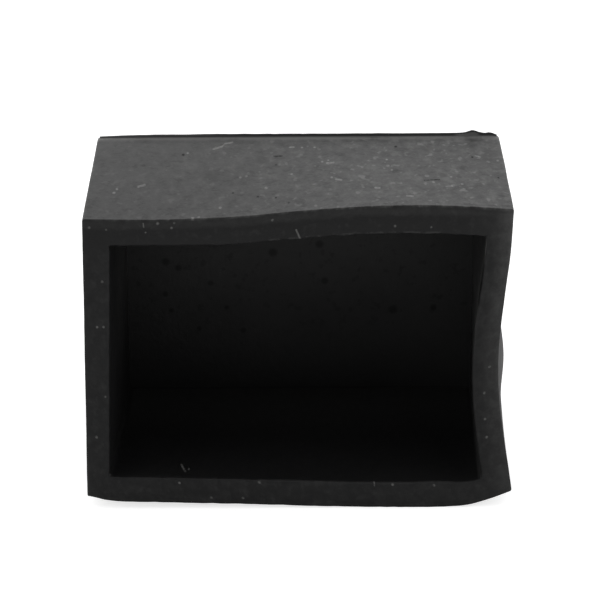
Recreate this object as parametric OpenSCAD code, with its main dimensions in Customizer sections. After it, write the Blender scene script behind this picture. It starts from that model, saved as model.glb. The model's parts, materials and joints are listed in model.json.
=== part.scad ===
// Slip-on rubber foot for the end of a rectangular tube, moulded in one piece.
// It lies on one long wall, as it comes to rest: +X along the long side, +Y from the open
// mouth to the sole, +Z up, with the origin under the middle of its box. Millimetres.
// The rubber has taken a set: at the mouth the walls are bowed, and deeper in they are true.

/* [Socket] */
// Long side of the tube that the foot slips over
tube_w = 60; // [30:1:120]
// Short side of that tube
tube_d = 40; // [25:1:100]
// How much smaller than the tube the socket is, on each side, so that it grips
grip = 0.25; // [0:0.05:0.6]
// Radius of the socket's four corners
socket_corner_r = 0.5; // [0.2:0.1:3]
// How far each socket wall leans in on its way to the closed end
socket_draft = 0.3; // [0:0.1:1]

/* [Body] */
// Thickness of the two long walls, above and below the socket
long_wall_t = 4.6; // [2:0.1:10]
// Thickness of the two short walls, to the left and right of it
short_wall_t = 4.3; // [2:0.1:10]
// Thickness of the closed end
sole_t = 5; // [2:0.5:15]
// Length from the mouth to the sole's face
foot_l = 40; // [20:1:80]
// Radius of the four long outer edges
edge_r = 0.4; // [0.2:0.1:2]
// How far the socket sits off the middle of the outside, sideways and up
core_shift = [0.1, -0.1]; // [-1:0.1:1]

/* [Set in the rubber] */
// How far the bottom wall bellies down at the mouth
belly_drop = 2.6; // [0:0.1:5]
// How far the right wall bows inwards at the mouth
bow_in = 2.3; // [0:0.1:4]
// How far the right half of the top wall rises at the mouth, where the left half sags
top_rise = 1.1; // [0:0.05:3]
// How far the right wall swells back out behind its bow
swell_h = 0.7; // [0:0.05:1.5]
// Distance from the mouth to the middle of that swelling
swell_y = 12; // [6:0.5:20]
// Height of the middle of that swelling above the underside
swell_z = 19.5; // [10:0.5:60]
// Sideways shift of the mouth's corners: bottom left, bottom right, top right, top left
corner_shift = [-0.65, 0.35, -0.25, -0.15]; // [-1:0.05:1]
// Rise of the mouth's corners, in the same order
corner_rise = [0.1, 0.6, 0.3, -0.85]; // [-1:0.05:1]
// How much thinner the left wall is at the mouth, towards its lower corner
left_slim = 0.9; // [0:0.05:1.5]

/* [Moulding flash] */
// Height of the flash that is left standing on the sole's top edge
flash_h = 0.55; // [0.2:0.05:1.5]
// Thickness of the flash
flash_t = 0.45; // [0.2:0.05:1.5]

/* [Hidden] */

socket_w = tube_w - 2 * grip;
socket_h = tube_d - 2 * grip;
foot_w = socket_w + 2 * short_wall_t;
foot_h = socket_h + 2 * long_wall_t;
socket_l = foot_l - sole_t;
socket_middle = [0, foot_h / 2] + core_shift;
left_wall_t = short_wall_t + core_shift[0];
bottom_wall_t = long_wall_t + core_shift[1];

// The set of each wall at the mouth, as [place along the wall from 0 to 1, share of its size]
BELLY = [[0, 0], [0.06, 0.36], [0.16, 0.45], [0.4, 0.69], [0.65, 0.95], [0.8, 1], [0.9, 0.85], [1, 0]];
BOW = [[0, 0], [0.1, 0.28], [0.2, 0.6], [0.3, 0.86], [0.42, 1], [0.55, 0.93], [0.7, 0.6],
    [0.85, 0.2], [1, 0]];
RISE = [[0, 0], [0.1, -0.25], [0.2, -0.35], [0.37, -0.08], [0.5, 0.5], [0.65, 1], [0.82, 0.93],
    [0.95, 0.32], [1, 0]];
// The flash along the sole's top edge, the same way: torn to a peak near the right corner
FLASH = [[0, 0.3], [0.03, 0.4], [0.1, 0.8], [0.2, 0.85], [0.35, 0.95], [0.6, 1], [0.9, 1.05],
    [0.935, 1.9], [0.96, 1.15], [0.98, 1.3], [0.993, 0.7], [1, 0.2]];

// Steps along a long wall, a short wall, a corner, and the depth of the socket
LONG_STEPS = 20;
SHORT_STEPS = 16;
CORNER_STEPS = 2;
DEPTH_STEPS = 10;
// How fast the set dies away towards the closed end
FADE_POWER = 1.3;
// Half-size of the swelling in depth, and in height
SWELL_L = 9.5;
SWELL_H = 7.5;
// How far the flash reaches down into the sole, so that the two are one solid
FLASH_ROOT = 1;

function clamp(x) = max(0, min(1, x));
function mix(a, b, s) = a + (b - a) * s;

// A smooth curve through a list of [place, value] points, by cubic pieces
function tangent(c, i) =
    let (a = max(i - 1, 0), b = min(i + 1, len(c) - 1))
    (c[b][1] - c[a][1]) / (c[b][0] - c[a][0]);
function piece(c, x, i = 0) = i < len(c) - 2 && x > c[i + 1][0] ? piece(c, x, i + 1) : i;
function curve(c, x) =
    let (i = piece(c, x), w = c[i + 1][0] - c[i][0], s = (x - c[i][0]) / w)
    c[i][1] * (1 + 2 * s) * pow(1 - s, 2) + c[i + 1][1] * s * s * (3 - 2 * s)
        + w * (tangent(c, i) * s * pow(1 - s, 2) - tangent(c, i + 1) * s * s * (1 - s));

// Where each of the mouth's corners has moved to, as [sideways, up]
function corner(i) = [corner_shift[i], corner_rise[i]];
function bottom_set(u) = mix(corner(0), corner(1), u) - [0, belly_drop * curve(BELLY, u)];
function top_set(u) = mix(corner(3), corner(2), u) + [0, top_rise * curve(RISE, u)];
function left_set(v) = mix(corner(0), corner(3), v);
function right_set(v) = mix(corner(1), corner(2), v) - [bow_in * curve(BOW, v), 0];

// The four walls' sets blended over the section, so that a wall moves with its full thickness,
// but for the left wall, whose inner face lies further out towards the bottom
function mouth_set(x, z) =
    let (u = x / foot_w + 0.5, v = z / foot_h,
         across = clamp((x - core_shift[0]) / socket_w + 0.5),
         up = clamp((z - bottom_wall_t) / socket_h),
         inside = clamp(min((x + foot_w / 2) / left_wall_t, z / bottom_wall_t)))
    mix(left_set(v), right_set(v), across) + mix(bottom_set(u), top_set(u), up)
        - mix(mix(corner(0), corner(1), across), mix(corner(3), corner(2), across), up)
        - [left_slim * inside * (1 - across) * (1 - v), 0];

// The swelling on the right wall, a low round hill
function swelling(x, y, z) =
    let (r = norm([(y - swell_y) / SWELL_L, (z - swell_z) / SWELL_H]))
    x > 0 && r < 1 ? swell_h * (1 + cos(180 * r)) / 2 : 0;

// A point of the true moulding, moved to where the set rubber has it
function settled(x, y, z) =
    let (d = mouth_set(x, z) * pow(1 - clamp(y / socket_l), FADE_POWER))
    [x + d[0] + swelling(x, y, z), y, z + d[1]];

// Points round a rectangle with round corners, counter-clockwise from the bottom left
function quarter_turns(p, n) = n == 0 ? p : quarter_turns([-p[1], p[0]], n - 1);
function round_rectangle(w, h, r) = [
    for (side = [0:3])
        let (is_long = side % 2 == 0,
             half = (is_long ? w : h) / 2 - r,
             away = (is_long ? h : w) / 2,
             steps = is_long ? LONG_STEPS : SHORT_STEPS)
        each concat(
            [for (i = [0:steps - 1]) quarter_turns([half * (2 * i / steps - 1), -away], side)],
            [for (k = [0:CORNER_STEPS - 1])
                let (a = 90 * k / CORNER_STEPS)
                quarter_turns([half + r * sin(a), r - away - r * cos(a)], side)]
        )
];
function ring(middle, w, h, r, y) = [
    for (p = round_rectangle(w, h, r)) settled(middle[0] + p[0], y, middle[1] + p[1])
];
function outer_ring(y) = ring([0, foot_h / 2], foot_w, foot_h, edge_r, y);
function inner_ring(y) =
    let (lean = 2 * socket_draft * y / socket_l)
    ring(socket_middle, socket_w - lean, socket_h - lean, socket_corner_r, y);

// The skin, from the middle of the sole's face over the outside and the rim to the closed end
depths = [for (i = [0:DEPTH_STEPS]) socket_l * i / DEPTH_STEPS];
rings = [
    outer_ring(foot_l),
    for (i = [DEPTH_STEPS:-1:0]) outer_ring(depths[i]),
    for (y = depths) inner_ring(y)
];
N = len(rings[0]);
LAST = len(rings) - 1;
skin_points = concat(
    [for (r = rings) each r],
    [[0, foot_l, foot_h / 2], [socket_middle[0], socket_l, socket_middle[1]]]
);
skin_faces = [
    for (r = [0:LAST - 1], j = [0:N - 1])
        let (k = (j + 1) % N, a = r * N + j, b = r * N + k, c = a + N, d = b + N)
        each [[a, d, b], [a, c, d]],
    for (j = [0:N - 1])
        let (k = (j + 1) % N)
        each [[j, k, (LAST + 1) * N], [LAST * N + k, LAST * N + j, (LAST + 1) * N + 1]]
];

// How the foot lies: on the lower edge of its sole and on its belly, with the mouth raised
mouth = outer_ring(0);
belly_low = max(0, -min([for (p = mouth) p[2]]));
rest_pitch = atan(belly_low / foot_l);
front_y = -norm([foot_l, belly_low]);
back_y = (foot_h + flash_h * max([for (p = FLASH) p[1]])) * sin(rest_pitch);
left_x = min(-foot_w / 2, min([for (p = mouth) p[0]]));
right_x = max(foot_w / 2, max([for (p = mouth) p[0]]));

module shell() {
    polyhedron(skin_points, skin_faces);
}

module flash() {
    translate([0, foot_l, foot_h])
        rotate([90, 0, 0])
            linear_extrude(flash_t)
                polygon(concat(
                    [[foot_w / 2, -FLASH_ROOT], [-foot_w / 2, -FLASH_ROOT]],
                    [for (p = FLASH) [foot_w * (p[0] - 0.5), flash_h * p[1]]]
                ));
}

module foot() {
    color([0.13, 0.13, 0.13])
        translate([-(left_x + right_x) / 2, -(front_y + back_y) / 2, 0])
            rotate([-rest_pitch, 0, 0])
                translate([0, -foot_l, 0])
                    union() {
                        shell();
                        flash();
                    }
}

foot();
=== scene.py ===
import json
from math import atan2, cos, exp, hypot, pi, radians, sin, sqrt

import bmesh
import bpy
from mathutils import Matrix, Vector, noise


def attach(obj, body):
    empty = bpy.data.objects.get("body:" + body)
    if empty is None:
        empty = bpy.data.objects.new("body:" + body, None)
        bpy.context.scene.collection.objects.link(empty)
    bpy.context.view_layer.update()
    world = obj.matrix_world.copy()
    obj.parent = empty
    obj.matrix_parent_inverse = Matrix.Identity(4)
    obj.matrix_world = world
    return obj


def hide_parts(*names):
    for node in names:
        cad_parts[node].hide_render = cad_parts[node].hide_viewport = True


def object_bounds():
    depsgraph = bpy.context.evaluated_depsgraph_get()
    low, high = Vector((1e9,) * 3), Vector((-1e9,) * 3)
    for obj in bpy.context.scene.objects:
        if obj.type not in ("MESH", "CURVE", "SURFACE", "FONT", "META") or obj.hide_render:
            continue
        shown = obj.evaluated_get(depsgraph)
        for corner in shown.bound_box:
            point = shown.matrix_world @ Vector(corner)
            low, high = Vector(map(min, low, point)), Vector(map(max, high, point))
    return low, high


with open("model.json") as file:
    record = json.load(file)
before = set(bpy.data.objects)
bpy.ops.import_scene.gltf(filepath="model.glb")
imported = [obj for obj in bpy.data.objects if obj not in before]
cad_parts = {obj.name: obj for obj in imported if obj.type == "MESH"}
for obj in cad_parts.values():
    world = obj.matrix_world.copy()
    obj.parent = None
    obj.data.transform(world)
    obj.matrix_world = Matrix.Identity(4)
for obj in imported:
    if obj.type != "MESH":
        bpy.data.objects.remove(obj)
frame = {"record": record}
cad_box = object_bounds()

# ---------------------------------------------------------------------------
# The foot's sizes, in millimetres, as its CAD source has them. X runs along the long side,
# Y from the mouth to the sole and Z up, with the mouth's plane at 0 and the underside at 0.
# ---------------------------------------------------------------------------
MM = 0.001
TUBE_W, TUBE_D = 60, 40
GRIP = 0.25
DRAFT = 0.3
LONG_WALL, SHORT_WALL = 4.6, 4.3
SOLE_T = 5
CORE_X, CORE_Z = 0.1, -0.1
SOCKET_W, SOCKET_H = TUBE_W - 2 * GRIP, TUBE_D - 2 * GRIP
FOOT_W, FOOT_H = SOCKET_W + 2 * SHORT_WALL, SOCKET_H + 2 * LONG_WALL

MOUNTS = {mount["name"]: mount for mount in frame["record"]["mounts"]}
SOLE_AT, SOLE_OUT = (Vector(MOUNTS["sole"][key]) for key in ("pos_m", "axis"))
MOUTH_AT = Vector(MOUNTS["leg_socket"]["pos_m"])
FOOT_L = (SOLE_AT - MOUTH_AT).dot(SOLE_OUT) / MM
SOCKET_L = FOOT_L - SOLE_T
SOCKET_LEFT, SOCKET_RIGHT = CORE_X - SOCKET_W / 2, CORE_X + SOCKET_W / 2
SOCKET_LOW = LONG_WALL + CORE_Z
SOCKET_HIGH = SOCKET_LOW + SOCKET_H

# Radii that the mould gave the edges
LONG_EDGE_R = 0.4
SOCKET_CORNER_R = 0.5
RIM_OUTER_R = 0.1
RIM_INNER_R = 0.12
SOLE_EDGE_R = 0.25
# Two places closer than this are the same place
SAME = 0.01
# How far apart the mesh's loops are, and how far in a quick try
STEP, QUICK_STEP = 0.5, 1.0

# The set of each wall at the mouth, as (place along the wall from 0 to 1, millimetres)
BELLY = ((0, 0), (0.06, 0.94), (0.16, 1.17), (0.4, 1.79), (0.65, 2.47), (0.8, 2.6), (0.9, 2.21),
         (1, 0))
BOW = ((0, 0), (0.1, 0.64), (0.2, 1.38), (0.3, 1.98), (0.42, 2.3), (0.55, 2.14), (0.7, 1.38),
       (0.85, 0.46), (1, 0))
RISE = ((0, 0), (0.1, -0.275), (0.2, -0.385), (0.37, -0.09), (0.5, 0.55), (0.65, 1.1),
        (0.82, 1.02), (0.95, 0.35), (1, 0))
# Where the mouth's corners have moved to: bottom left, bottom right, top right, top left
CORNERS = ((-0.65, 0.1), (0.35, 0.6), (-0.25, 0.3), (-0.15, -0.85))
# How much thinner the left wall is there, towards its lower corner
LEFT_SLIM = 0.9
# How far the socket's bottom right corner sags there, and how wide of the corner that reaches
CORNER_SAG, SAG_WIDE = 0.6, 8
FADE_POWER = 1.3
# The swelling on the right wall: height, then its middle and half-size along the foot and upwards
SWELL = 0.7
SWELL_Y, SWELL_LONG = 12, 9.5
SWELL_Z, SWELL_TALL = 19.5, 7.5

# The rim: how far it falls back to its edges, how deep into the foot that is felt, and the radii that
# wear has given those edges. Each worn place is given as (middle along the edge, half its length).
RIM_CROWN = 0.12
RIGHT_ROLL, ROLL_WIDE = 0.25, 3.0
RIM_DEEP = 3.0
OUTER_WORN_R, CORNER_WORN_R = 0.12, 0.5
CORNER_WORN_Z, CORNER_WORN_WIDE = 44, 12
INNER_WORN_R, LEFT_WORN_R, TOP_WORN_R, RIGHT_WORN_R, BELLY_WORN_R = 0.25, 0.4, 0.8, 1.2, 0.6
TOP_WORN, RIGHT_WORN, BELLY_WORN = (-23, 14), (36, 10), (11, 23)

# The flash on the sole's top edge: its thickness, the share of it that is gone at its lip, how many
# layers it is drawn up in, and its height as (place along the edge from 0 to 1, millimetres)
FLASH_T, FLASH_THINNED = 0.45, 0.5
FLASH_LAYERS = 6
FLASH = ((0, 0.22), (0.03, 0.32), (0.1, 0.48), (0.2, 0.53), (0.3, 0.6), (0.45, 0.57), (0.7, 0.58),
         (0.89, 0.58), (0.913, 0.68), (0.932, 1.02), (0.952, 0.68), (0.965, 0.55), (0.975, 0.66),
         (0.985, 0.5), (1, 0.05))


# ---------------------------------------------------------------------------
# The shape
# ---------------------------------------------------------------------------
def clamp(value):
    return max(0.0, min(1.0, value))


def mix(a, b, share):
    return a + (b - a) * share


def hill(distance):
    """1 at no distance, falling smoothly to 0 at a distance of 1."""
    return (1 + cos(pi * distance)) / 2 if abs(distance) < 1 else 0.0


def tangent(points, i):
    before, after = points[max(i - 1, 0)], points[min(i + 1, len(points) - 1)]
    return (after[1] - before[1]) / (after[0] - before[0])


def curve(points, place):
    """The smooth curve through a list of (place, value) points, by cubic pieces."""
    i = 0
    while i < len(points) - 2 and place > points[i + 1][0]:
        i += 1
    (start, low), (end, high) = points[i], points[i + 1]
    width = end - start
    s = (place - start) / width
    bend = width * (tangent(points, i) * s * (1 - s) ** 2 - tangent(points, i + 1) * s * s * (1 - s))
    return low * (1 + 2 * s) * (1 - s) ** 2 + high * s * s * (3 - 2 * s) + bend


def ripple(place, size, seed=0.0):
    """Smooth noise from -1 to 1 whose bumps are about that many millimetres across."""
    return noise.noise(Vector(place) / size + Vector((seed, 7.3 * seed, -3.1 * seed)))


def mouth_set(x, z):
    """How far the set rubber has moved at the mouth, sideways and up: four walls' sets, blended."""
    bottom_left, bottom_right, top_right, top_left = (Vector(corner) for corner in CORNERS)
    u, v = clamp(x / FOOT_W + 0.5), clamp(z / FOOT_H)
    across = clamp((x - SOCKET_LEFT) / SOCKET_W)
    up = clamp((z - SOCKET_LOW) / SOCKET_H)
    bottom = mix(bottom_left, bottom_right, u) - Vector((0, curve(BELLY, u)))
    top = mix(top_left, top_right, u) + Vector((0, curve(RISE, u)))
    left = mix(bottom_left, top_left, v)
    right = mix(bottom_right, top_right, v) - Vector((curve(BOW, v), 0))
    corners = mix(mix(bottom_left, bottom_right, across), mix(top_left, top_right, across), up)
    inside = clamp(min((x + FOOT_W / 2) / (SOCKET_LEFT + FOOT_W / 2), z / SOCKET_LOW))
    slim = Vector((LEFT_SLIM * inside * (1 - across) * (1 - v), 0))
    near_corner = hill((x - SOCKET_RIGHT) / SAG_WIDE) * hill(max(z - SOCKET_LOW, 0) / SAG_WIDE)
    sag = Vector((0, CORNER_SAG * near_corner * clamp(z / SOCKET_LOW)))
    return mix(left, right, across) + mix(bottom, top, up) - corners - slim - sag


def settled(place):
    """A point of the true moulding, moved to where the set rubber has it."""
    x, y, z = place
    moved = mouth_set(x, z) * (1 - clamp(y / SOCKET_L)) ** FADE_POWER
    swell = SWELL * hill(hypot((y - SWELL_Y) / SWELL_LONG, (z - SWELL_Z) / SWELL_TALL)) if x > 0 else 0
    return Vector((x + moved.x + swell, y, z + moved.y))


def from_outside(co):
    """How far a point of the rim lies in from its outer edge."""
    return min(FOOT_W / 2 - abs(co.x), co.z, FOOT_H - co.z)


def from_socket(co):
    """How far a point of the rim lies from the socket's edge."""
    across = max(SOCKET_LEFT - co.x, co.x - SOCKET_RIGHT, 0)
    up = max(SOCKET_LOW - co.z, co.z - SOCKET_HIGH, 0)
    return hypot(across, up)


def at_closed_end(co):
    """Whether a point lies on the corner between the socket's walls and its closed end."""
    across = max(SOCKET_LEFT + DRAFT - co.x, co.x - SOCKET_RIGHT + DRAFT)
    up = max(SOCKET_LOW + DRAFT - co.z, co.z - SOCKET_HIGH + DRAFT)
    return abs(co.y - SOCKET_L) < SAME and max(across, up) > -SOCKET_CORNER_R / 2


def edges_where(bm, test):
    """The edges whose two ends both pass the test."""
    return [edge for edge in bm.edges if all(test(vert) for vert in edge.verts)]


def round_off(bm, edges, radius):
    bmesh.ops.bevel(bm, geom=edges, offset=radius, offset_type="OFFSET", segments=3,
                    profile=0.5, affect="EDGES", material=-1, clamp_overlap=True)


def cut_across(bm, axis, places):
    """Cuts loops right through the mesh, square to one axis: 0 is X, 1 is Y and 2 is Z."""
    normal = Vector(1 if i == axis else 0 for i in range(3))
    for place in places:
        everything = bm.verts[:] + bm.edges[:] + bm.faces[:]
        bmesh.ops.bisect_plane(bm, geom=everything, dist=1e-4, plane_co=normal * place, plane_no=normal)


def steps(start, end, size):
    """Even places from start to end, about that far apart."""
    count = max(1, round((end - start) / size))
    return [start + (end - start) * i / count for i in range(count + 1)]


def box_with_socket():
    """The foot's box, with its mouth inset and sunk to make the socket, which leans in as it goes."""
    bm = bmesh.new()
    bmesh.ops.create_cube(bm, size=1)
    box = Matrix.Translation((0, FOOT_L / 2, FOOT_H / 2)) @ Matrix.Diagonal((FOOT_W, FOOT_L, FOOT_H, 1))
    bmesh.ops.transform(bm, matrix=box, verts=bm.verts)
    mouth = min(bm.faces, key=lambda face: face.calc_center_median().y)
    bmesh.ops.inset_individual(bm, faces=[mouth], thickness=SHORT_WALL, use_even_offset=True)
    middle = Matrix.Translation((0, 0, FOOT_H / 2))
    centre = Matrix.Translation((CORE_X, 0, CORE_Z)) @ middle
    lower = Matrix.Diagonal((1, 1, SOCKET_H / (FOOT_H - 2 * SHORT_WALL), 1))
    bmesh.ops.transform(bm, matrix=centre @ lower @ middle.inverted(), verts=mouth.verts)
    bmesh.ops.inset_individual(bm, faces=[mouth], thickness=0, depth=-SOCKET_L)
    lean = Matrix.Diagonal((1 - 2 * DRAFT / SOCKET_W, 1, 1 - 2 * DRAFT / SOCKET_H, 1))
    bmesh.ops.transform(bm, matrix=centre @ lean @ centre.inverted(), verts=mouth.verts)
    return bm


def round_edges(bm):
    """Rounds the long outer edges, the socket's corners, the rim's two edges and the sole's edge."""
    def along(edge):
        return abs(edge.verts[0].co.y - edge.verts[1].co.y) > 1

    def outside(co):
        return from_outside(co) < SHORT_WALL / 2

    def at_mouth(co):
        return co.y < SAME

    def at_sole(co):
        at_side = abs(co.x) > FOOT_W / 2 - 0.1
        top = FOOT_H - LONG_EDGE_R + (SAME if at_side else -SAME)
        return co.y > FOOT_L - SAME and co.z < top

    round_off(bm, [e for e in bm.edges if along(e) and outside(e.verts[0].co)], LONG_EDGE_R)
    round_off(bm, [e for e in bm.edges if along(e) and not outside(e.verts[0].co)], SOCKET_CORNER_R)
    round_off(bm, edges_where(bm, lambda v: at_mouth(v.co) and outside(v.co)), RIM_OUTER_R)
    round_off(bm, edges_where(bm, lambda v: at_mouth(v.co) and not outside(v.co)), RIM_INNER_R)
    round_off(bm, edges_where(bm, lambda v: at_sole(v.co)), SOLE_EDGE_R)


def raise_flash(bm):
    """Draws a strip of the top wall up along the sole's edge, in thin layers to be shaped later."""
    def beside_sole(face):
        middle = face.calc_center_median()
        return face.normal.z > 0.99 and middle.y > FOOT_L - FLASH_T and middle.z > FOOT_H - SAME

    cut_across(bm, 1, [FOOT_L - FLASH_T])
    strip = [face for face in bm.faces if beside_sole(face)]
    for _ in range(FLASH_LAYERS):
        grown = bmesh.ops.extrude_face_region(bm, geom=strip)["geom"]
        corners = [part for part in grown if isinstance(part, bmesh.types.BMVert)]
        bmesh.ops.translate(bm, vec=(0, 0, 1 / FLASH_LAYERS), verts=corners)
        bmesh.ops.delete(bm, geom=strip, context="FACES_ONLY")
        strip = [part for part in grown if isinstance(part, bmesh.types.BMFace)]


def beside_socket(low, high):
    """Places close outside the socket's two walls, closest near its edge."""
    gaps = (0.12, 0.3, 0.55, 0.9)
    return [low - gap for gap in gaps] + [high + gap for gap in gaps]


def true_moulding(step):
    """The foot as it left its mould, cut finely enough to be shaped, with more loops at its edges."""
    bm = box_with_socket()
    round_edges(bm)
    raise_flash(bm)
    half = FOOT_W / 2
    inset = 0.8
    beside_round = LONG_EDGE_R + 0.1
    behind_rim = [0.2, 0.4, 0.7, 1.1, 1.6]
    before_sole = [FOOT_L - 1.0, FOOT_L - FLASH_T - 0.12, FOOT_L - SOLE_EDGE_R - 0.1]
    at_tear = steps(0.42 * FOOT_W, 0.47 * FOOT_W, step / 2)
    cut_across(bm, 1, behind_rim + steps(2.2, FOOT_L - 1.5, 2 * step) + before_sole)
    cut_across(bm, 0, [beside_round - half, half - beside_round]
               + beside_socket(SOCKET_LEFT, SOCKET_RIGHT)
               + steps(inset - half, half - inset, step) + at_tear)
    cut_across(bm, 2, [beside_round, FOOT_H - beside_round]
               + beside_socket(SOCKET_LOW, SOCKET_HIGH)
               + steps(inset, FOOT_H - inset, step))
    bmesh.ops.remove_doubles(bm, verts=bm.verts, dist=0.003)
    return bm


def edge_fall(distance, radius):
    """How far a face has fallen away, at that distance from an edge of that radius."""
    over = clamp(1 - distance / radius)
    return radius * (1 - sqrt(1 - over * over))


def outer_radius(co):
    """The rim's outer edge is rubbed soft about its top right and bottom left corners."""
    top_right = hill(hypot(co.x - FOOT_W / 2, co.z - CORNER_WORN_Z) / CORNER_WORN_WIDE)
    bottom_left = hill(hypot(co.x + FOOT_W / 2, co.z) / CORNER_WORN_WIDE)
    return mix(OUTER_WORN_R, CORNER_WORN_R, max(top_right, bottom_left))


def worn(place, stretch, radius, worn_radius):
    """The radius of an edge at that place along it, larger over its worn stretch."""
    middle, half = stretch
    return mix(radius, worn_radius, hill((place - middle) / half))


def inner_radius(co):
    """The socket's edge is crisp in places, and soft where its walls have been pushed in."""
    if co.x > SOCKET_RIGHT:
        return worn(co.z, RIGHT_WORN, LEFT_WORN_R, RIGHT_WORN_R)
    if co.x < SOCKET_LEFT:
        return LEFT_WORN_R
    if co.z < SOCKET_LOW:
        return worn(co.x, BELLY_WORN, INNER_WORN_R, BELLY_WORN_R)
    return worn(co.x, TOP_WORN, INNER_WORN_R, TOP_WORN_R)


def rim_fall(co):
    """How far the rim lies behind the mouth's plane: crowned, worn at its edges and rolled back."""
    out, inn = max(from_outside(co), 0), from_socket(co)
    crown = RIM_CROWN * (2 * out / max(out + inn, 1e-6) - 1) ** 2
    roll = RIGHT_ROLL * clamp(1 - (FOOT_W / 2 - co.x) / ROLL_WIDE) ** 2
    fall = crown + roll + edge_fall(out, outer_radius(co)) + edge_fall(inn, inner_radius(co))
    return fall * (1 - clamp(co.y / RIM_DEEP))


def uneven(co):
    """The slight unevenness of hand-trimmed rubber: rough at the rim's edges, slow over its walls.
    Each term is a height, where on the foot it shows, and a ripple."""
    at_rim = exp(-co.y / 1.2)
    out, inn = abs(from_outside(co)), from_socket(co)
    edge = at_rim * exp(-min(out, inn) / 0.6)
    torn = at_rim * exp(-inn / 0.5) * clamp(co.z - SOCKET_HIGH + 2)
    return Vector((
        0.02 * edge * ripple(co, 1.7, 1) + 0.04 * ripple(co, 9, 2),
        0.05 * at_rim * ripple(co, 1.6, 4),
        0.05 * edge * ripple(co, 1.5, 6) + torn * (0.15 * ripple(co, 2.3, 9) + 0.1 * ripple(co, 0.8, 5))
        + 0.05 * ripple(co, 8, 7) + 0.015 * ripple(co, 1.1, 8),
    ))


def flash_shape(co):
    """A point of the standing strip, drawn to the flash's height, and thinned and torn at its lip."""
    up = clamp(co.z - FOOT_H)
    jagged = 1 + 0.06 * ripple((co.x, 0, 0), 2.5, 3) + 0.04 * ripple((co.x, 0, 0), 0.8, 5)
    thickness = (FOOT_L - co.y) * (1 - FLASH_THINNED * up)
    height = curve(FLASH, co.x / FOOT_W + 0.5) * jagged
    return Vector((co.x, FOOT_L - thickness, FOOT_H + up * height))


def keep_inside(bm):
    """Holds the uneven skin within the solid foot's own box, and flat on what it lies on."""
    low, high = cad_box
    for vert in bm.verts:
        vert.co = Vector(min(max(c, a), b) for c, a, b in zip(vert.co, low, high))


def moulded_foot():
    """The whole foot as one closed mesh, settled as it lies, in metres."""
    bm = true_moulding(STEP)
    moulded = bm.verts.layers.float_vector.new("moulded")
    for vert in bm.verts:
        co = vert.co.copy()
        vert[moulded] = co
        if co.z > FOOT_H + 1e-4:
            vert.co = flash_shape(co)
        else:
            vert.co = settled(co) + Vector((0, rim_fall(co), 0)) + uneven(co)
    tilt = atan2(-SOLE_OUT.z, SOLE_OUT.y)
    lying = Matrix.Translation(SOLE_AT) @ Matrix.Rotation(-tilt, 4, "X") @ Matrix.Scale(MM, 4)
    bm.transform(lying @ Matrix.Translation((0, -FOOT_L, -FOOT_H / 2)))
    keep_inside(bm)
    bmesh.ops.recalc_face_normals(bm, faces=bm.faces)
    for edge in edges_where(bm, lambda vert: at_closed_end(vert[moulded])):
        edge.smooth = False
    mesh = bpy.data.meshes.new("rubber_foot")
    bm.to_mesh(mesh)
    bm.free()
    mesh.shade_smooth()
    foot = bpy.data.objects.new("rubber_foot", mesh)
    bpy.context.scene.collection.objects.link(foot)
    return foot


# ---------------------------------------------------------------------------
# Shader maths
# ---------------------------------------------------------------------------
class Link:
    """One output in a material. Sums written with it become Math nodes."""

    def __init__(self, finish, socket):
        self.finish, self.socket = finish, socket

    def math(self, operation, *others):
        return self.finish.add("Math", {"operation": operation}, [self, *others])

    def __add__(self, other):
        return self.math("ADD", other)

    __radd__ = __add__

    def __mul__(self, other):
        return self.math("MULTIPLY", other)

    __rmul__ = __mul__

    def __sub__(self, other):
        return self.math("SUBTRACT", other)

    def __rsub__(self, other):
        return self.finish.add("Math", {"operation": "SUBTRACT"}, [other, self])

    def at_least(self, other):
        return self.math("MAXIMUM", other)


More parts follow.
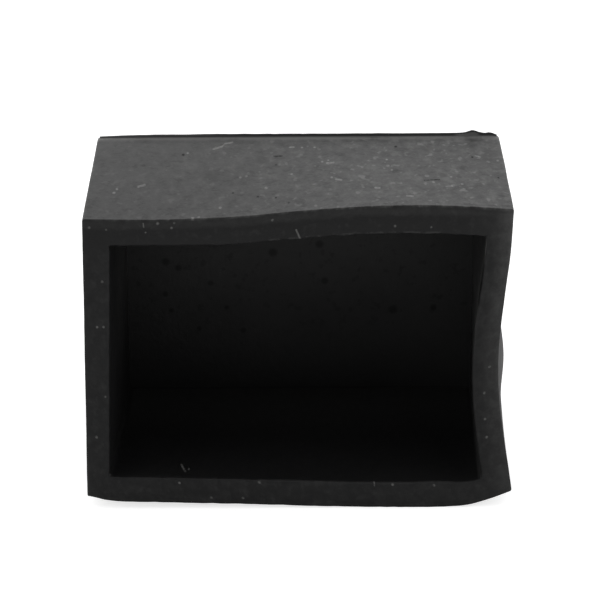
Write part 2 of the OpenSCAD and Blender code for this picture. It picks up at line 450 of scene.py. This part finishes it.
class Finish:
    """A material, or the room's light, that is being built out of nodes."""

    def __init__(self, owner):
        owner.use_nodes = True
        self.owner, self.tree = owner, owner.node_tree
        self.tree.nodes.clear()

    def add(self, kind, settings=None, values=(), output=0):
        """Adds a node of that kind, with values for its sockets, in order or by name, and returns one
        of its outputs."""
        node = self.tree.nodes.new("ShaderNode" + kind)
        for name, value in (settings or {}).items():
            setattr(node, name, value)
        pairs = values.items() if isinstance(values, dict) else enumerate(values)
        for key, value in pairs:
            if isinstance(value, Link):
                self.tree.links.new(value.socket, node.inputs[key])
            elif value is not None:
                node.inputs[key].default_value = value
        return Link(self, node.outputs[output])

    def other_output(self, link, name):
        return Link(self, link.socket.node.outputs[name])

    def axes(self, vector):
        split = self.add("SeparateXYZ", {}, [vector])
        return split, self.other_output(split, "Y"), self.other_output(split, "Z")

    def ramp(self, value, low, high, to_low=0.0, to_high=1.0):
        """A smooth step: to_low where the value is at low, to_high where it is at high."""
        return self.add("MapRange", {"interpolation_type": "SMOOTHSTEP"}, {
            "Value": value, "From Min": low, "From Max": high, "To Min": to_low, "To Max": to_high})

    def blend(self, share, first, second):
        """One colour over another."""
        return self.add("Mix", {"data_type": "RGBA"}, {"Factor": share, 6: first, 7: second}, output=2)

    def vector(self, operation, *values):
        """A Vector Math node whose answer is a vector."""
        return self.add("VectorMath", {"operation": operation}, values)

    def grain(self, place, size, detail=3.0, roughness=0.5):
        """Noise from 0 to 1 whose grains are about that many millimetres across."""
        return self.add("TexNoise", {"noise_dimensions": "3D"}, {
            "Vector": place, "Scale": 1 / size, "Detail": detail, "Roughness": roughness})

    def measure(self, operation, *values):
        """A Vector Math node whose answer is one number."""
        return self.add("VectorMath", {"operation": operation}, values, output=1)

    def marks(self, across, along, places, squeeze=1.0):
        """1 on each of a face's marks, and 0 away from them. Squeezed marks are drawn out along it."""
        flat = self.add("CombineXYZ", {}, [across, along * squeeze])
        nearest = None
        for start_across, start_along, radius, *end in places:
            start = Vector((start_across, start_along * squeeze, 0))
            away = self.measure("DISTANCE", flat, start)
            if end:
                run = Vector((end[0], end[1] * squeeze, 0)) - start
                passed = self.vector("SUBTRACT", flat, start)
                share = self.measure("DOT_PRODUCT", passed, run / run.length_squared)
                share = share.at_least(0).math("MINIMUM", 1)
                away = self.measure("LENGTH", self.vector("MULTIPLY_ADD", share, -run, passed))
            away = away * (1 / radius)
            nearest = away if nearest is None else nearest.math("MINIMUM", away)
        return self.ramp(nearest, 1, 0.3)

    def finish(self, kind, shader):
        """Ends the nodes in that shader, and returns the material or world that they belong to."""
        end = self.tree.nodes.new("ShaderNodeOutput" + kind)
        self.tree.links.new(shader.socket, end.inputs["Surface"])
        return self.owner


# Every mark has its place in millimetres on the true moulding: a dot is (across, along, radius), and a
# stroke has the (across, along) of its other end after that.
# Specks, hairs and lint on the top face, in x and y
TOP_SPECKS = (
    (-29.7, 12.2, 0.35), (-29.3, 13.9, 0.3), (-25.9, 15.0, 0.35, -25.0, 15.8), (-18.5, 31.4, 0.3),
    (-16.6, 0.3, 0.35), (-15.7, 0.6, 0.3), (-14.2, 33.4, 0.3, -12.9, 34.6),
    (-12.9, 34.6, 0.2, -12.3, 36.2), (-12.3, 36.2, 0.3, -11.2, 37.0), (-12.4, 4.6, 0.35),
    (-9.5, 18.7, 0.35), (-8.5, 19.2, 0.3), (-5.2, 12.9, 0.4), (-1.1, 19.5, 0.3),
    (-1.4, 34.1, 0.25, -0.8, 34.2), (0.6, 34.0, 0.3), (2.7, 34.0, 0.3), (3.9, 25.8, 0.3),
    (4.7, 25.0, 0.3, 5.7, 25.2), (4.9, 26.6, 0.25), (5.4, 17.0, 0.3), (6.2, 15.8, 0.35, 6.9, 15.4),
    (12.4, 10.5, 0.3, 13.0, 10.4), (14.6, 26.6, 0.3), (14.7, 23.0, 0.4), (15.3, 20.6, 0.3),
    (17.3, 5.6, 0.25, 18.2, 5.3), (21.8, 13.3, 0.35), (24.7, 11.3, 0.3), (24.8, 16.5, 0.3),
    (26.4, 12.6, 0.35), (26.6, 9.9, 0.3), (29.4, 28.8, 0.25, 30.1, 28.2), (32.9, 26.2, 0.3),
)
# Pits, whose dark bottoms are painted shade, and smudges there
TOP_PITS = (
    (-19.2, 30.5, 0.4), (-10.5, 11.2, 0.3), (-6.5, 8.8, 0.3), (-4.0, 29.3, 0.25, -2.7, 29.4),
    (-3.7, 24.5, 0.35), (-3.6, 7.8, 0.25), (-1.5, 4.8, 0.3), (16.3, 34.2, 0.4),
    (20.4, 14.4, 0.2, 22.8, 14.8), (28.8, 28.0, 0.3), (32.5, 16.7, 0.3),
)
TOP_SMUDGES = (
    (-14.2, 19.5, 2.0), (-6.0, 27.5, 1.5), (14.4, 29.4, 1.2), (21.5, 33.0, 1.5), (23.5, 17.5, 0.9),
    (31.5, 29.5, 2.0),
)
# Specks on the rim, in x and z
RIM_SPECKS = (
    (-32.9, 47.3, 0.3), (-30.2, 47.0, 0.25), (-24.4, 48.1, 0.15, -24.3, 47.5), (-24.0, 46.6, 0.2),
    (-22.1, 48.1, 0.35), (-19.9, 47.3, 0.3), (-19.5, 48.1, 0.25), (-4.0, 47.6, 0.3),
    (-0.2, 45.6, 0.2, 0.5, 44.0), (15.4, 45.3, 0.3), (21.1, 45.1, 0.25), (-30.9, 38.2, 0.3),
    (-31.8, 30.4, 0.3), (-30.7, 30.5, 0.3), (-30.4, 18.5, 0.25), (-32.1, 11.2, 0.35),
    (-18.6, 3.7, 0.3), (-14.0, 1.1, 0.3), (-8.9, 1.2, 0.3), (-5.8, 4.1, 0.35),
    (12.6, 4.4, 0.15, 12.6, 3.9), (15.5, 4.1, 0.3), (22.1, 3.9, 0.3), (32.6, 22.3, 0.3),
    (31.7, 18.0, 0.3), (31.5, 13.6, 0.3), (31.4, 10.6, 0.3),
)
# Lint on the socket's floor, in x and y
FLOOR_LINT = ((-18.5, 4.9, 0.2, -17.7, 2.5), (-17.2, 3.4, 0.2))
# The patch of painted reflection on the swelling, in y and z
SWELL_SHEEN = ((9.0, 18.0, 6.0, 13.0, 20.0),)
# Stains on the socket's closed end, in x and z
END_STAINS = (
    (-22.7, 28.1, 1.0), (-20.6, 27.0, 0.8), (-15.1, 24.2, 0.7), (-22.9, 22.2, 0.7), (-12.4, 19.7, 0.6),
    (-21.9, 19.2, 0.6), (-17.2, 15.9, 0.6), (-9.6, 15.5, 0.7), (-4.4, 29.7, 1.1), (3.5, 31.1, 1.0),
    (4.4, 24.5, 0.9), (16.1, 19.2, 1.1), (23.0, 19.5, 0.8),
)
# Marks on the top face and on the floor are drawn out along the foot: their width over their length
TOP_SQUEEZE, FLOOR_SQUEEZE = 0.45, 0.33

# Colours of the clean rubber, of thick dust and of the painted light laid on in the same grey, of specks
# and painted highlights, and of the painted shade at the bottom of a pit
CLEAN_RUBBER = (0.0085, 0.0085, 0.0088, 1)
DUST_AND_LIGHT = (0.100, 0.100, 0.098, 1)
SPECK_AND_LIGHT = (0.20, 0.20, 0.195, 1)
PIT_SHADE = (0.004, 0.004, 0.004, 1)
# Height of the rubber's grain, in metres
GRAIN_DEEP = 0.00011


class Rubber(Finish):
    """The foot's rubber, with the places, grains and regions that its dust, wear, painted light and
    painted shade are laid out by.
    """

    def __init__(self):
        super().__init__(bpy.data.materials.new("black_rubber"))
        place = self.add("Attribute", {"attribute_name": "moulded"}, output=1)
        self.x, self.y, self.z = self.axes(place)
        self.cloud = self.grain(place, 8, 2, 0.5)
        self.mottle = self.grain(self.vector("MULTIPLY", place, (1, 0.5, 1)), 1.6, 4, 0.65)
        self.streak = self.grain(self.vector("MULTIPLY", place, (0.5, 0.5, 1)), 1.2, 2, 0.5)
        self.fleck = self.grain(self.vector("MULTIPLY", place, (1, 0.55, 1)), 1.1, 1, 0.5)
        self.spot = self.grain(place, 1.5, 2, 0.6)
        self.fine = self.grain(place, 0.4, 2, 0.6)
        self.broken = self.ramp(self.fine, 0.3, 0.6, 0.3, 1)
        self.lay_out_regions()

    def lay_out_regions(self):
        """Each region is 1 on it and 0 off it; past_x is how far outside the socket's sides a place is."""
        x, y, z = self.x, self.y, self.z
        below_flash = self.ramp(z, FOOT_H + 0.1, FOOT_H + 0.02)
        self.on_top = self.ramp(z, FOOT_H - 0.45, FOOT_H - 0.1) * below_flash
        self.on_rim = self.ramp(y, 0.35, 0.1)
        self.past_x = (x - CORE_X).math("ABSOLUTE") - SOCKET_W / 2
        past_z = (z - FOOT_H / 2 - CORE_Z).math("ABSOLUTE") - SOCKET_H / 2
        in_section = self.ramp(self.past_x.at_least(past_z), 0.12, 0.02)
        self.in_socket = in_section * self.ramp(y, 0.02, 0.1) * self.ramp(y, FOOT_L - 1, FOOT_L - 2)
        self.in_from_right = FOOT_W / 2 - x
        self.up_flash = z - FOOT_H
        self.on_flash = self.ramp(self.up_flash, 0.02, 0.1)


def top_dust_and_light(f):
    """Dust on the top face in mottles and flecks, the mottles paler to the right as painted light from
    that side, with painted light in front of the flash and beside its tear where the flash's shadow falls.
    """
    beside_tear = f.ramp(f.x, 25, 29) * f.ramp(f.x, 35, 31)
    # painted light in front of the flash and beside its tear, standing in for the light that the flash's
    # shadow takes from the top face
    lit_before_flash = f.ramp(f.y, FOOT_L - 2.8, FOOT_L - FLASH_T)
    lit_before_flash = lit_before_flash + f.ramp(f.y, FOOT_L - 5, FOOT_L - 1) * beside_tear * 0.25
    flecks = f.ramp(f.fleck, 0.62, 0.74) * f.ramp(f.x, -25, 20, 0.2, 0.7)
    dusted = f.ramp(f.cloud, 0.35, 0.65, 0, 0.12) + f.ramp(f.mottle, 0.43, 0.75, 0, 0.6)
    # the mottled dust grades paler to the right: painted light from that side
    return f.on_top * (dusted * f.ramp(f.x, -34, 34, 0.55, 1.1) + flecks + lit_before_flash)


def rim_light_and_spots(f):
    """Painted light on the rim from the right and above: paler at its right, most at its top right corner,
    along its top and faintly along its bottom towards the right, with a painted highlight on the socket's
    top edge and painted light on its right edge, mostly broken up by mottle, and pale spots at random.
    """
    ragged = (f.mottle - 0.5) * 2
    # painted light: the rim paler at its right, most at its top right corner, faintly along its bottom
    # towards the right, and along its top
    right = f.ramp(f.in_from_right, 3.8, 0.3) * f.ramp(f.z, 5, 46, 0.17, 0.34)
    right = right + f.ramp(f.x, 26, 31) * f.ramp(f.z, 41, 46) * 0.09
    low = f.ramp(f.z, 8, 3) * f.ramp(f.x, -30, 30, 0.01, 0.05)
    top = f.ramp(FOOT_H - f.z + ragged, 1.9, 1.1) * f.ramp(f.x, -34, 5, 0.12, 0.14)
    above_socket = f.z - SOCKET_HIGH
    # painted highlight along the socket's top edge, where its rounding catches the light
    lip = f.ramp(above_socket, 0.5, 0.2) * f.ramp(above_socket, -0.6, -0.4)
    lip = lip * f.ramp(f.mottle, 0.42, 0.55) * f.ramp(f.x, -9, -8) * f.ramp(f.x, 24, 22) * 0.3
    # painted light on the socket's right edge, lifting the shade on its rounding there
    lit_right_edge = f.ramp(f.past_x, 0.22, 0.1) * f.ramp(f.x, 0, 20)
    lit_right_edge = lit_right_edge * f.ramp(f.z, 27, 33) * f.ramp(f.z, 44, 42) * 0.9
    rim_light = right.at_least(top) * f.ramp(f.mottle, 0.3, 0.7, 0.7, 1.3)
    return f.on_rim * (rim_light + low + lit_right_edge + lip + f.ramp(f.spot, 0.52, 0.72, 0, 0.09))


def paler_flash(f):
    """The flash is paler on its left, and paler at its foot as painted light bounced up from the top face.
    """
    pale_left = f.ramp(f.x, -6, -18) * f.ramp(f.up_flash, 0.3, 0.8) * 0.5
    # the paler foot is painted light, bounced up from the top face
    return f.on_flash * (f.ramp(f.up_flash, 0.1, 0.9, 0.28, 0.15) + pale_left)


def socket_painted_light(f):
    """Painted light in the socket, lifting the shade deep inside it: paler up its sides towards the closed
    end, on its floor towards the closed end, and on the closed end's upper middle and right.
    """
    along_walls = f.ramp(f.y, SOCKET_L - 0.05, SOCKET_L - 0.3)
    on_walls = f.ramp(f.z, 10, 36) * f.ramp(f.y, 6, 30, 0.03, 0.45) * f.ramp(f.x, 20, -20, 0.6, 1)
    on_walls = on_walls + f.ramp(f.x, -20, 20, 0, 0.17)
    on_walls = on_walls * f.ramp(f.past_x, -0.8, -0.45) * along_walls
    on_floor = f.ramp(f.z, SOCKET_LOW + 1.4, SOCKET_LOW + 0.6) * f.ramp(f.past_x, -0.5, -1.2)
    on_floor = on_floor * along_walls * f.ramp(f.y, 14, 34, 0, 0.25)
    on_end = f.ramp(f.z, 18, 33, 0, 0.2) * f.ramp(f.x, -30, -4, 0.6, 1) * f.ramp(f.x, 34, 4, 0.6, 1)
    on_end = (on_end + f.ramp(f.x, 12, 30, 0, 0.08)) * f.ramp(f.y, SOCKET_L - 0.3, SOCKET_L - 0.05)
    # all of this is painted light, lifting the shade that falls deep in the socket
    return f.in_socket * on_walls.at_least(on_floor).at_least(on_end)


def swelling_sheen(f):
    """The swelling on the right is painted pale where it stands proud: a painted reflection of the bright
    room, seen at a grazing angle.
    """
    # painted reflection of the bright room on the swelling's grazing side
    proud = f.ramp(f.in_from_right, 0.3, 0.1) * f.marks(f.y, f.z, SWELL_SHEEN)
    return proud * f.ramp(f.mottle, 0.35, 0.65) * 0.65


def bloom(f):
    """A faint grey bloom on all but the socket's inside, fainter still towards the top."""
    out_of_socket = 1 - f.in_socket
    return f.ramp(f.mottle, 0.35, 0.7, 0, 0.09) * f.ramp(f.z, 42, 44.5, 1, 0.3) * out_of_socket


def pale_specks_and_light(f):
    """Specks and lint, a painted highlight on the film at the flash's tear, and painted light at the
    flash's foot and in front of it: palest of all.
    """
    on_face = f.on_top * f.marks(f.x, f.y, TOP_SPECKS, TOP_SQUEEZE)
    at_mouth = f.on_rim * f.marks(f.x, f.z, RIM_SPECKS)
    lint = f.marks(f.x, f.y, FLOOR_LINT, FLOOR_SQUEEZE) * f.ramp(f.z, SOCKET_LOW + 1, SOCKET_LOW + 0.5)
    specks = (on_face * 0.8).at_least(at_mouth * 0.6).at_least(lint * f.in_socket * 0.6) * f.broken
    # painted highlight on the film at the flash's tear, where its face catches the light
    film = f.ramp(f.up_flash, 0.12, 0.3) * f.ramp(f.up_flash, 0.82, 0.66)
    film = film * f.ramp(f.x, 26, 27.5) * f.ramp(f.x, 31, 30)
    # painted light at the flash's foot and on the top face in front of it
    at_foot = f.on_flash * f.ramp(f.up_flash, 0.4, 0.15)
    at_foot = at_foot + f.on_top * f.ramp(f.y, FOOT_L - 1.8, FOOT_L - FLASH_T)
    return specks.at_least(film * 0.55).at_least(at_foot * 0.6)


def dark_marks(f, blotches):
    """Painted shade in pits, with smudges and blotches, darkens the top face, and stains darken the
    socket's closed end.
    """
    # the pits' dark bottoms are painted shade
    pits = f.on_top * f.marks(f.x, f.y, TOP_PITS, TOP_SQUEEZE) * f.broken
    smudges = f.on_top * f.marks(f.x, f.y, TOP_SMUDGES, TOP_SQUEEZE)
    smudges = smudges * f.ramp(f.mottle, 0.35, 0.6, 0.3, 1)
    speckle = f.ramp(f.spot, 0.42, 0.3) * f.ramp(f.z, 10, 22) * 0.45
    stains = f.marks(f.x, f.z, END_STAINS).at_least(speckle) * f.in_socket
    stains = stains * f.ramp(f.y, SOCKET_L - 1, SOCKET_L - 0.5)
    return (pits * 0.8).at_least(smudges * 0.2).at_least(blotches).at_least(stains * 0.4)


def rubber():
    """Black rubber, dusty on top, with painted light on the top face, along the rim, at the flash, on the
    swelling and inside the socket, and painted shade in its pits.
    """
    f = Rubber()
    # dust, with painted light on the top face, rim, flash, socket and swelling
    dust_and_light = top_dust_and_light(f) + rim_light_and_spots(f) + paler_flash(f) + socket_painted_light(f) + swelling_sheen(f) + bloom(f)
    colour = f.blend(dust_and_light, CLEAN_RUBBER, DUST_AND_LIGHT)
    colour = f.blend(pale_specks_and_light(f), colour, SPECK_AND_LIGHT)

    blotches = f.ramp(f.streak, 0.38, 0.3, 0, 0.15) + f.ramp(f.mottle, 0.48, 0.28, 0, 0.22)
    blotches = f.on_top * blotches
    rough = 0.5 + (f.cloud - 0.5) * 0.1 + (f.mottle - 0.5) * 0.2
    height = f.mottle * 0.6 + f.fine * 0.2 - blotches
    bump = f.add("Bump", {}, {"Strength": 0.8, "Distance": GRAIN_DEEP, "Height": height})
    skin = f.add("BsdfPrincipled", {}, {
        "Base Color": colour, "Roughness": rough, "Specular IOR Level": 0.3, "Normal": bump})
    # painted shade at the bottom of the pits
    pit_shade = f.add("BsdfDiffuse", {}, {"Color": PIT_SHADE})
    return f.finish("Material", f.add("MixShader", {}, [dark_marks(f, blotches), skin, pit_shade]))


# ---------------------------------------------------------------------------
# The stage: a white floor, and a room that is bright above, behind and to the sides
# ---------------------------------------------------------------------------
FLOOR_HALF = 3.0
FLOOR_WHITE, FLOOR_GLOW = 0.74, 0.72
# How bright the room is towards each side. In front it is dark, so the socket stays black.
BEHIND, SIDES, ABOVE = 1.48, 1.9, 0.75
# The camera: its lens and sensor in millimetres, its direction in degrees, what it aims at on the foot,
# and how far from there it stands, in millimetres
LENS, SENSOR = 178.6, 36
ELEVATION, TURN, ROLL = 23.61, -0.20, -0.21
AIM, AWAY = (0.28, 0.15, 27.66), 493.8


def white_floor():
    """A matt floor that keeps the foot's shadow and shows nearly white."""
    bm = bmesh.new()
    bmesh.ops.create_grid(bm, x_segments=1, y_segments=1, size=FLOOR_HALF)
    mesh = bpy.data.meshes.new("floor")
    bm.to_mesh(mesh)
    bm.free()
    floor = bpy.data.objects.new("floor", mesh)
    bpy.context.scene.collection.objects.link(floor)
    f = Finish(bpy.data.materials.new("floor_white"))
    seen = f.add("LightPath")
    paint = f.add("BsdfDiffuse", {}, {"Color": (FLOOR_WHITE, FLOOR_WHITE, FLOOR_WHITE, 1)})
    glow = f.add("Emission", {}, {"Strength": seen * FLOOR_GLOW})
    mesh.materials.append(f.finish("Material", f.add("AddShader", {}, [paint, glow])))


def room():
    """Soft light from all round: each side's share grows as the square of how far a ray leans to it."""
    f = Finish(bpy.data.worlds.new("room"))
    x, y, z = f.axes(f.add("TexCoord"))
    behind, above = y.at_least(0), z.at_least(0)
    light = f.add("Background", {}, {
        "Strength": x * x * SIDES + behind * behind * BEHIND + above * above * ABOVE})
    white = f.add("Background", {}, {"Color": (1, 1, 1, 1)})
    seen = f.add("LightPath")
    bpy.context.scene.world = f.finish("World", f.add("MixShader", {}, [seen, light, white]))


def camera():
    """Looks down into the mouth from in front."""
    lens = bpy.data.cameras.new("camera")
    lens.sensor_width = SENSOR
    lens.lens = LENS
    lens.clip_start, lens.clip_end = 0.01, 10
    holder = bpy.data.objects.new("camera", lens)
    bpy.context.scene.collection.objects.link(holder)
    elevation, turn = radians(ELEVATION), radians(TURN)
    back = Vector((sin(turn) * cos(elevation), -cos(turn) * cos(elevation), sin(elevation)))
    holder.location = (Vector(AIM) + back * AWAY) * MM
    holder.rotation_mode = "QUATERNION"
    look = (-back).to_track_quat("-Z", "Y")
    holder.rotation_quaternion = look @ Matrix.Rotation(radians(ROLL), 3, "Z").to_quaternion()
    bpy.context.scene.camera = holder


camera()
foot = moulded_foot()
foot.data.materials.append(rubber())
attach(foot, "root")
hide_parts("foot")
white_floor()
room()
bpy.context.scene.view_settings.view_transform = "Standard"
